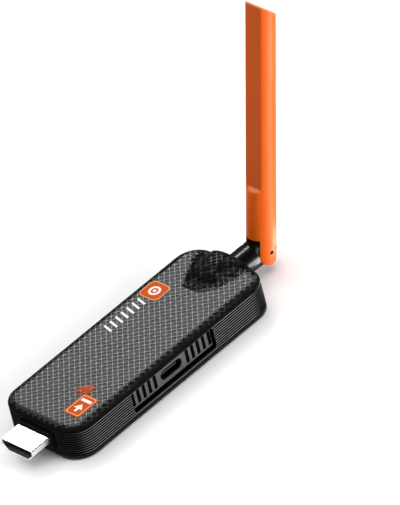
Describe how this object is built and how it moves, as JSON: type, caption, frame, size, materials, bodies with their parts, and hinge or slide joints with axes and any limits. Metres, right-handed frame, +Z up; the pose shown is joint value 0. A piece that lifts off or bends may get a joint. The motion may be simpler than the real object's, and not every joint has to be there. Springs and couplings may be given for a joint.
{
  "type": "wireless hdmi transmitter",
  "caption": "Plug-in video transmitter stick with an HDMI plug, a vented ribbed casing, a side power socket and a swivelling, folding paddle antenna.",
  "frame": {"origin": "middle of the flat underside of the casing", "axes": "+X from the HDMI plug towards the antenna, -Y the side with the power socket, +Z up from the underside to the textured top"},
  "size_m": [0.1413, 0.035, 0.0929],
  "materials": {
    "black_shell": "moulded, satin",
    "grey_panel": "moulded, satin",
    "plug_steel": "bright nickel plate",
    "black_insulator": "moulded, matt",
    "contact_gold": "gold flash",
    "socket_steel": "tinned sheet",
    "board_green": "solder mask",
    "screw_steel": "zinc plate",
    "chip_black": "moulded epoxy",
    "thermal_pad": "soft, matt",
    "sink_aluminium": "extruded, bare",
    "can_steel": "tinned sheet",
    "inductor_grey": "moulded ferrite",
    "capacitor_tan": "ceramic",
    "lead_black": "smooth jacket",
    "washer_rubber": "matt",
    "black_barrel": "moulded, glossy",
    "orange_plastic": "moulded, semi-gloss",
    "pin_steel": "dark plate",
    "radiator_brass": "bare tube"
  },
  "bodies": {
    "casing": {"bottom_cover": "black_shell", "side_frame": "black_shell", "top_cover": "black_shell", "port_vent_panel": "grey_panel", "rear_vent_panel": "grey_panel", "hdmi_shell": "plug_steel", "hdmi_insulator": "black_insulator", "hdmi_contacts": "contact_gold", "hdmi_collar": "black_insulator", "usb_c_shell": "socket_steel", "usb_c_tongue": "black_insulator", "usb_c_contacts": "contact_gold", "main_board": "board_green", "board_screws": "screw_steel", "video_chip": "chip_black", "thermal_pad": "thermal_pad", "heat_sink": "sink_aluminium", "memory_chips": "chip_black", "radio_chip": "chip_black", "shield_can": "can_steel", "clock_crystal": "can_steel", "power_inductors": "inductor_grey", "capacitors": "capacitor_tan", "aerial_socket": "contact_gold", "aerial_plug": "contact_gold", "board_lead": "lead_black", "friction_washer": "washer_rubber"},
    "antenna_base": {"swivel_barrel": "black_barrel", "barrel_lead": "lead_black"},
    "antenna": {"antenna_blade": "orange_plastic", "hinge_pin": "pin_steel", "blade_grommet": "washer_rubber", "blade_lead": "lead_black", "radiator": "radiator_brass"}
  },
  "joints": [
    {"name": "antenna_swivel", "type": "hinge", "parent": "casing", "child": "antenna_base", "pos_m": [0.04575, 0, 0.0076], "axis": [1, 0, 0], "range_deg": [-90, 90]},
    {"name": "antenna_fold", "type": "hinge", "parent": "antenna_base", "child": "antenna", "pos_m": [0.0586, 0, 0.0076], "axis": [0, 1, 0], "range_deg": [-15.9, 74.1]}
  ]
}
